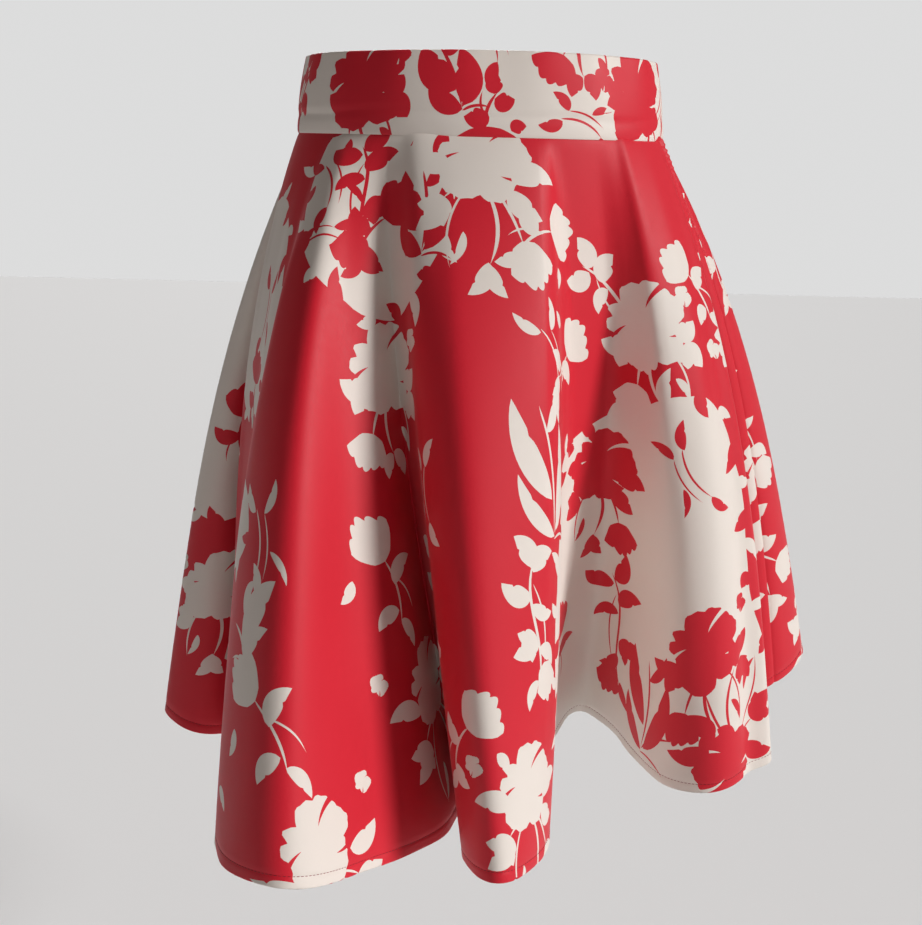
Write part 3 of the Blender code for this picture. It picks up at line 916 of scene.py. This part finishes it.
# Posies, each a row of motifs in the posy's own centimetres across and down: the motif, then
# what its function takes after its ink.
posies = {
    "peony": (
        ("bloom", (0, 0), 6.4, 5.6, 20, 8, 0.7),
        ("leaf", (2.4, 1.6), (5.8, 0.3), 1.7, 0.15),
        ("leaf", (2.3, 2.2), (5.0, 3.9), 1.6, -0.12),
        ("leaf", (-2.6, 1.4), (-5.6, 0.6), 1.5, -0.15),
        ("trefoil", (-2.8, 3.4), (-5.0, 5.8), 1.7),
        ("stem", ((0.4, 2.6), (1.4, 5.0), (1.0, 8.6)), 0.26),
        ("stem", ((1.0, 2.4), (2.7, 4.6), (3.6, 6.4)), 0.20),
        ("stem", ((-1.0, 2.5), (-2.3, 5.2), (-2.1, 9.2)), 0.16),
        ("stem", ((-1.2, 2.4), (-2.2, 2.9), (-2.9, 3.5)), 0.16),
        ("fan", (3.5, 6.2), (5.4, 9.4), 3.4, 5, 1.0),
        ("leaf", (-1.2, 6.2), (-2.1, 8.9), 0.6, 0.1),
        ("leaf", (0.9, 8.4), (-0.6, 11.2), 1.2, 0.12),
        ("leaf", (1.1, 8.6), (2.6, 10.9), 1.1, -0.12),
        ("bloom", (-5.4, -2.2), 1.6, 1.4, 0, 5, 2.0),
    ),
    "branch": (
        ("stem", ((0, 0), (0.8, 3.6), (0.2, 8.0), (1.0, 12.0)), 0.24),
        ("stem", ((0.4, 2.0), (-0.7, 5.5), (-0.3, 9.5)), 0.14),
        ("leaf", (0.2, 1.0), (-2.6, -0.7), 1.5, 0.15),
        ("leaf", (0.3, 0.6), (1.9, -2.3), 1.6, -0.12),
        ("leaf", (0.7, 3.0), (3.8, 1.6), 1.5, 0.14),
        ("leaf", (0.6, 3.8), (-2.2, 4.8), 1.1, -0.15),
        ("trefoil", (0.6, 6.6), (3.6, 8.2), 1.5),
        ("leaf", (0.3, 8.0), (-2.2, 9.9), 1.2, 0.14),
        ("leaf", (0.7, 10.8), (2.3, 13.4), 0.9, -0.1),
        ("fan", (-0.4, 9.4), (-1.5, 13.0), 3.0, 4, 0.4),
    ),
    "buds": (
        ("fan", (0, 0), (-1.6, -3.9), 3.8, 5, 2.2),
        ("stem", ((0, 0), (0.7, 2.5), (0.2, 5.6)), 0.20),
        ("stem", ((0.3, 1.4), (1.7, 2.7), (2.3, 4.9)), 0.14),
        ("leaf", (0.5, 2.2), (3.4, 0.4), 1.3, 0.14),
        ("leaf", (0.3, 4.4), (-2.4, 5.4), 1.2, -0.12),
        ("leaf", (0.3, 5.2), (1.2, 8.0), 1.0, 0.10),
        ("leaf", (-3.6, 0.8), (-5.4, 2.2), 0.9, 0.10),
    ),
    "spray": (
        ("stem", ((0, 0), (0.6, 4.0), (0.1, 9.0)), 0.22),
        ("leaf", (0.2, 6.4), (-2.0, -0.6), 1.9, 0.08),
        ("leaf", (0.6, 8.6), (2.4, 1.2), 1.6, -0.08),
        ("leaf", (0.2, 9.0), (-2.6, 4.4), 1.3, 0.12),
        ("stem", ((0.3, 8.8), (1.9, 6.8), (4.0, 6.0)), 0.24),
        ("stem", ((0.1, 9.2), (1.2, 9.0), (3.4, 9.8)), 0.18),
        ("leaf", (0.4, 1.8), (2.0, -1.2), 0.9, -0.10),
    ),
    "twigs": (
        ("stem", ((0, 0), (0.5, 2.0), (-0.2, 4.4)), 0.16),
        ("stem", ((0.9, 0.4), (1.2, 2.2), (0.7, 4.2)), 0.12),
        ("leaf", (-0.1, 0.2), (-1.2, -1.7), 0.8, 0.10),
        ("leaf", (0.9, 0.4), (1.9, -1.5), 0.7, -0.10),
        ("leaf", (-0.1, 4.2), (-1.3, 6.0), 0.8, -0.12),
        ("leaf", (1.4, 2.6), (2.4, 4.5), 0.5, 0.10),
    ),
}


# Every posy of a table: which, degrees or centimetres across, centimetres down or up, lean,
# size, and its ink, 0 off-white or 1 red. A panel's posies also turn with the cloth.
def posiesAt(rows, lay=onPanel):
    made = []
    for name, across, along, lean, size, ink in rows:
        angle = lean + (across if lay is onPanel else 0)
        made += drawn(posies[name], posyAt(lay([(across, along)]), angle, size), ink)
    return made


def groundsAt(rows):  # the off-white grounds of a panel, in order
    made = []
    for row in rows:
        made += field(onPanel, 0, *row)
    return made


# The front panel. Its off-white grounds: places round the edge, and the step and the size of
# the leaves along it. Then its posies, on the red and on the grounds.
frontGrounds = (
    (((-49, -0.8), (-15, -0.8), (-8, 4), (-13, 10), (-24, 12), (-36, 10), (-46, 5)), 2.3, 2.3),
    (((8, 30), (14, 23), (26, 20), (37, 18), (44, 19), (46, 28), (46, 38), (49, 50.3), (30, 50.3),
      (12, 50.3), (8, 40)), 2.6, 2.6),
    (((-70, 5), (-58, 6), (-51, 12), (-48, 19), (-60, 21), (-72, 15)), 2.2, 1.9),
    (((-57, 23), (-45, 24), (-42, 28), (-50, 30)), 2.2, 1.8),
)
frontPosies = (
    ("branch", -38, 1.0, 25, 0.66, 1),
    ("buds", -25, 5.5, -20, -0.62, 1),
    ("twigs", -46, 2.6, 40, 0.9, 1),
    ("spray", -16, 2.6, 10, 0.62, 1),
    ("twigs", -33, 7.6, -70, -0.9, 1),
    ("peony", 0, 1.6, -6, 0.82, 0),
    ("buds", 15, 6.2, -62, -0.62, 0),
    ("twigs", 8, 12.6, 25, 1.0, 0),
    ("peony", -22, 15.4, 12, -0.66, 0),
    ("branch", 25, 8.4, 42, 0.66, 0),
    ("peony", 36, 12.6, 8, -0.64, 0),
    ("buds", 19, 14.2, -75, 0.66, 0),
    ("buds", 48, 9.6, 16, 0.62, 0),
    ("spray", 6, 17.5, 4, 0.95, 0),
    ("branch", 3.5, 27.5, 2, -0.74, 0),
    ("peony", 1.5, 42.6, 0, 0.86, 0),
    ("twigs", -10, 21.5, 8, -0.9, 0),
    ("buds", -4, 38.4, -24, -0.7, 0),
    ("buds", -24, 28.2, 12, 0.82, 0),
    ("branch", -13, 27.8, 20, -0.62, 0),
    ("peony", -19, 37.4, 10, 1.0, 0),
    ("buds", -38, 37.6, 30, 0.86, 0),
    ("peony", -33, 46.2, 18, -0.98, 0),
    ("twigs", -40, 25.8, 10, 1.1, 0),
    ("spray", -38, 30.2, -14, -0.6, 0),
    ("buds", -10, 46.8, 16, 0.7, 0),
    ("peony", 26, 23.4, -14, 0.72, 1),
    ("twigs", 38, 21.4, 24, -1.0, 1),
    ("branch", 27, 33.0, 6, 0.92, 1),
    ("peony", 39, 36.6, 12, -0.80, 1),
    ("buds", 19, 37.4, -12, 0.90, 1),
    ("spray", 33, 38.6, -4, 0.95, 1),
    ("peony", 41, 46.6, 168, 0.92, 1),
    ("spray", 14, 46.4, 12, -0.6, 1),
    ("peony", -58, 35, 20, 0.95, 0),
    ("branch", -50, 31, -15, 0.75, 0),
    ("buds", -47, 44, 10, -0.9, 0),
    ("branch", -68, 25, 10, -0.8, 0),
    ("buds", -74, 36, -20, 1.0, 0),
    ("peony", -80, 44, 0, -0.8, 0),
    ("buds", -78, 8, 15, 0.6, 0),
    ("twigs", -60, 11, 0, 0.9, 1),
    ("buds", -60, 18, 20, -0.55, 1),
    ("twigs", -80, 18, 0, 0.8, 0),
    ("buds", 57, 24, 15, -0.75, 0),
    ("peony", 56, 15, 20, 0.6, 0),
    ("branch", 50.5, 27.5, 25, 0.55, 0),
    ("peony", 63, 33, -20, 0.8, 0),
    ("buds", 55, 40, 10, 0.8, 0),
    ("branch", 70, 16, 0, -0.7, 0),
    ("peony", 80, 27, 10, -0.8, 0),
    ("buds", 66, 8, 0, -0.6, 0),
    ("branch", 74, 38, 0, 0.8, 0),
    ("buds", 84, 12, 30, 0.7, 0),
    ("twigs", 52, 46.5, 190, 0.8, 0),
    ("buds", 86, 42, 10, -0.8, 0),
)
frontPrints = groundsAt(frontGrounds) + posiesAt(frontPosies)

# The back panel: seen from behind, with its left side seam at the right.
backGrounds = (
    (((72, 4), (86, 4), (95, 10), (98, 20), (94, 30), (82, 29), (76, 18)), 2.4, 2.4),
    (((-62, 8), (-50, 6), (-40, 9), (-36, 15), (-40, 20), (-37, 27), (-42, 33), (-52, 34),
      (-60, 29), (-58, 22), (-66, 17)), 2.6, 3.0),
    (((22, 18), (31, 16), (38, 21), (36, 28), (40, 35), (37, 43), (41, 50.3), (20, 50.3),
      (23, 42), (18, 34), (21, 26)), 2.6, 3.0),
    (((-12, -0.8), (8, -0.8), (14, 3), (9, 7), (2, 6), (-4, 9), (-12, 5)), 2.6, 3.0),
)
backPosies = (
    ("branch", 86, 12, 70, 0.7, 1),
    ("buds", 90, 22, 30, -0.7, 1),
    ("peony", 95, 36, 10, 0.7, 0),
    ("buds", -101, 40, 10, 0.7, 0),
    ("buds", -112, 22, 20, 0.8, 0),
    ("twigs", -108, 30, 0, -0.9, 0),
    ("peony", -94, 14, 10, -0.7, 0),
    ("branch", -96, 27, -10, 0.8, 0),
    ("buds", -90, 44, 0, 0.9, 0),
    ("peony", -81, 33, 25, 0.9, 0),
    ("buds", -84, 5, 30, 0.6, 0),
    ("branch", -78, 20, 15, -0.8, 0),
    ("peony", -70, 44, -10, -0.8, 0),
    ("buds", -70, 9, -10, -0.7, 0),
    ("peony", -50, 16, 10, 0.8, 1),
    ("branch", -47, 27, -15, 0.6, 1),
    ("buds", -56, 11, 20, -0.5, 1),
    ("branch", -64, 28, 0, 0.8, 0),
    ("buds", -56, 40, 15, -1.0, 0),
    ("peony", -42, 43, 10, 0.85, 0),
    ("buds", -30, 7, -10, 0.7, 0),
    ("branch", -28, 18, 5, 0.9, 0),
    ("peony", -27, 35, -20, -0.95, 0),
    ("twigs", -20, 27, 10, 1.0, 0),
    ("buds", -16, 12, 0, -0.8, 0),
    ("peony", -8, 21, 10, 0.85, 0),
    ("branch", -12, 37, -5, -0.85, 0),
    ("buds", -2, 44, 20, 1.0, 0),
    ("twigs", 0, 2.2, 20, 0.6, 1),
    ("buds", 16, 12, -20, 0.8, 0),
    ("branch", 10, 29, 15, 0.8, 0),
    ("peony", 11, 42, -10, 0.8, 0),
    ("peony", 28, 26, 10, -0.8, 1),
    ("branch", 31, 37, -10, 0.75, 1),
    ("buds", 26, 46, 180, 0.7, 1),
    ("buds", 32, 9, 10, -0.7, 0),
    ("peony", 50, 14, -15, 0.75, 0),
    ("branch", 48, 27, 10, -0.9, 0),
    ("peony", 50, 42, 15, 0.95, 0),
    ("buds", 62, 34, -10, 0.9, 0),
    ("branch", 64, 22, 5, 0.7, 0),
    ("buds", 64, 6, 0, 0.6, 0),
    ("peony", 72, 42, -15, -0.85, 0),
    ("buds", 82, 36, 10, -0.8, 0),
    ("buds", 88, 45, 0, 0.7, 0),
)
backPrints = groundsAt(backGrounds) + posiesAt(backPosies)

# The band: red on the off-white ground, its outside first (up to 5.2), then round its fold.
bandPosies = (
    ("peony", -33.0, 3.2, 20, 0.46, 1),
    ("branch", -27.0, 5.2, 40, -0.44, 1),
    ("buds", -22.6, 3.2, -20, 0.52, 1),
    ("spray", -18.0, 5.4, 20, -0.46, 1),
    ("branch", -13.4, 5.0, -30, 0.44, 1),
    ("peony", -7.4, 3.3, 14, -0.50, 1),
    ("spray", -2.6, 5.5, 20, 0.46, 1),
    ("buds", 0.2, 0.6, 160, 0.40, 1),
    ("twigs", 4.6, 1.2, 70, 0.7, 1),
    ("peony", 10.8, 3.0, 10, 0.56, 1),
    ("twigs", 15.4, 4.2, -40, 0.8, 1),
    ("buds", 19.0, 3.4, 30, -0.52, 1),
    ("peony", 24.6, 3.0, 160, 0.48, 1),
    ("spray", 29.4, 5.2, -14, 0.46, 1),
    ("buds", 33.4, 3.0, 10, -0.48, 1),
    ("buds", -31.0, 8.4, 0, 0.66, 1),
    ("peony", -22.0, 8.4, 20, 0.52, 1),
    ("twigs", -15.0, 7.6, 0, 0.9, 1),
    ("buds", -8.0, 8.6, 160, -0.62, 1),
    ("twigs", -1.0, 7.8, 30, 0.9, 1),
    ("peony", 6.6, 8.2, 0, -0.52, 1),
    ("twigs", 13.4, 7.8, 190, 0.9, 1),
    ("buds", 20.4, 8.2, 20, 0.66, 1),
    ("branch", 28.4, 9.4, 60, 0.5, 1),
)
bandPrints = posiesAt(bandPosies, onBand)
print("prints", len(frontPrints), len(backPrints), len(bandPrints), "outlines")

print("sheets")
# The panels' outside runs red (1), the band's off-white (0), before the print.
pieces = {
    "skirt_front": printedPiece("printed_front", panelSheet(180.0, 360.0, 270.0, 1.0), frontPrints,
                                1.0, satinMaterial("frontSatin")),
    "skirt_back": printedPiece("printed_back", panelSheet(0.0, 180.0, 90.0, 1.25), backPrints,
                               1.0, satinMaterial("backSatin")),
    "waistband": printedPiece("folded_band", bandSheet(), bandPrints, 0.0, satinMaterial("bandSatin")),
}

# Hem stitches: spindles of sixteen triangles, end to end along a thread's row, a little above
# the printed face outside and above the turned hem inside.
stitch = {
    "length": 0.0023,
    "every": 0.0029,
    "half": 0.00021,
    "lift": 0.00008,
    "colour": (0.30, 0.006, 0.016, 1),
}


# Thread: its colour darkened by a fine noise, which also makes its twist in the bump.
def threadMaterial():
    material = bpy.data.materials.new("hemThread")
    material.use_nodes = True
    tree = material.node_tree
    shader = tree.nodes["Principled BSDF"]
    place = node(tree, "TexCoord")[3]
    twist = node(tree, "TexNoise", {}, {"Vector": place, "Scale": 1400.0, "Detail": 1.0})[0]
    darker = [0.7 * value for value in stitch["colour"][:3]] + [1]
    tree.links.new(mixColour(tree, twist, stitch["colour"], darker).socket, shader.inputs["Base Color"])
    bump = node(tree, "Bump", {}, {"Strength": 0.3, "Distance": 0.0002, "Height": twist})[0]
    tree.links.new(bump.socket, shader.inputs["Normal"])
    shader.inputs["Roughness"].default_value = 0.6
    return material


# Each spindle: a foot, two rings of four and a tip, laid along the row; both sides at once.
def hemStitches():
    count = int(hemLength / stitch["every"])
    u = (np.arange(count) + 0.5) / count
    s = np.full(count, 1 - ripple["stitchRow"] / cut["length"])
    middle, normal = clothAt(u, s)
    along = unit(clothAt(u + 0.0002, s)[0] - clothAt(u - 0.0002, s)[0])
    down = np.cross(normal, along)
    points = []
    for out in (stitch["lift"], -cut["hemThickness"] - stitch["lift"]):
        base = middle + normal * out
        rings = [base - along * stitch["length"] / 2]
        for step in (-0.3, 0.3):
            for way in (normal, down, -normal, -down):
                rings.append(base + along * stitch["length"] * step + way * stitch["half"])
        rings.append(base + along * stitch["length"] / 2)
        points.append(np.stack(rings, 1))
    points = np.concatenate(points)
    k = np.arange(4)
    n = (k + 1) % 4
    sides = np.concatenate([
        np.stack([np.zeros(4, int), 1 + n, 1 + k], 1), np.stack([1 + k, 1 + n, 5 + n], 1),
        np.stack([1 + k, 5 + n, 5 + k], 1), np.stack([np.full(4, 9), 5 + k, 5 + n], 1),
    ])
    faces = (sides[None] + (np.arange(len(points)) * 10)[:, None, None]).reshape(-1, 3)
    mesh = bpy.data.meshes.new("hem_stitches")
    mesh.from_pydata(points.reshape(-1, 3).tolist(), [], faces.tolist())
    mesh.materials.append(threadMaterial())
    mesh.shade_smooth()
    piece = bpy.data.objects.new("hem_stitches", mesh)
    bpy.context.collection.objects.link(piece)
    print("hem_stitches", len(points), "stitches", len(faces), "triangles")
    return piece


stitches = hemStitches()
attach(stitches, "root")

# Each panel is cut as half a ring; the rectangle round it is two radii by one.
for name in ("skirt_front", "skirt_back", "waistband"):
    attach(pieces[name], "root")
    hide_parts(name)

print("stage")
studio = {
    "floorDrop": 0.45,          # below the hem
    "floorSize": 14.0,
    "floorColour": (0.80, 0.80, 0.80, 1),
    "world": 0.085,
    "worldColour": (1.0, 0.86, 0.78, 1),
    "backdrop": 0.72,
    "key": (1.85, -0.78, 0.62), "keySpread": 15.0, "keyPower": 2.8,
    "fill": (-1.2, -2.0, 0.9), "fillSize": 1.6, "fillPower": 0.5,
    "back": (-0.2, 1.80, 0.75), "backSpread": 30.0, "backPower": 2.2,
    "aim": (0.0, 0.0, -0.25),
}
camera = {"across": -0.008, "away": 0.9, "below": 0.003, "pitch": 14.97, "roll": 1.4, "lens": 47.03}


# A lamp at a place, turned to the studio's aim; its size is a sun's spread in degrees, or an
# area's side in metres.
def lamp(name, kind, place, size, power):
    data = bpy.data.lights.new(name, kind)
    data.energy = power
    if kind == "AREA":
        data.size = size
    else:
        data.angle = math.radians(size)
    holder = bpy.data.objects.new(name, data)
    toAim = Vector(studio["aim"]) - Vector(place)
    holder.matrix_world = Matrix.Translation(place) @ toAim.to_track_quat("-Z", "Y").to_matrix().to_4x4()
    bpy.context.collection.objects.link(holder)


# A plain pale floor below the hem, the world and three lamps. The world shows itself to the
# camera as an even backdrop, and lights the cloth more weakly.
def makeStage():
    bpy.context.scene.view_settings.view_transform = "Standard"
    half = studio["floorSize"] / 2
    drop = min(backLow.z, cadLow.z) - studio["floorDrop"]
    mesh = bpy.data.meshes.new("pale_floor")
    corners = [(-half, -half, drop), (half, -half, drop), (half, half, drop), (-half, half, drop)]
    mesh.from_pydata(corners, [], [(0, 1, 2, 3)])
    material = bpy.data.materials.new("paleFloor")
    material.use_nodes = True
    shader = material.node_tree.nodes["Principled BSDF"]
    shader.inputs["Base Color"].default_value = studio["floorColour"]
    shader.inputs["Roughness"].default_value = 0.9
    mesh.materials.append(material)
    floor = bpy.data.objects.new("pale_floor", mesh)
    bpy.context.collection.objects.link(floor)
    world = bpy.data.worlds.new("softRoom")
    bpy.context.scene.world = world
    world.use_nodes = True
    shown = node(world.node_tree, "LightPath")[0]
    strength = shown * (studio["backdrop"] - studio["world"]) + studio["world"]
    ground = world.node_tree.nodes["Background"]
    tint = mixColour(world.node_tree, shown, studio["worldColour"], (1, 1, 1, 1))
    world.node_tree.links.new(tint.socket, ground.inputs["Color"])
    world.node_tree.links.new(strength.socket, ground.inputs["Strength"])
    lamp("key", "SUN", studio["key"], studio["keySpread"], studio["keyPower"])
    lamp("back", "SUN", studio["back"], studio["backSpread"], studio["backPower"])
    lamp("fill", "AREA", studio["fill"], studio["fillSize"], studio["fillPower"])


# A camera in front of the waist seam: moved, pitched down, then rolled about its view.
def makeCamera():
    data = bpy.data.cameras.new("camera")
    data.sensor_width, data.lens, data.clip_start = 36, camera["lens"], 0.01
    holder = bpy.data.objects.new("camera", data)
    place = Matrix.Translation((camera["across"], -camera["away"], seamHeight - camera["below"]))
    pitch = Matrix.Rotation(math.pi / 2 - math.radians(camera["pitch"]), 4, "X")
    holder.matrix_world = place @ pitch @ Matrix.Rotation(math.radians(camera["roll"]), 4, "Z")
    bpy.context.collection.objects.link(holder)
    bpy.context.scene.camera = holder


makeStage()
makeCamera()
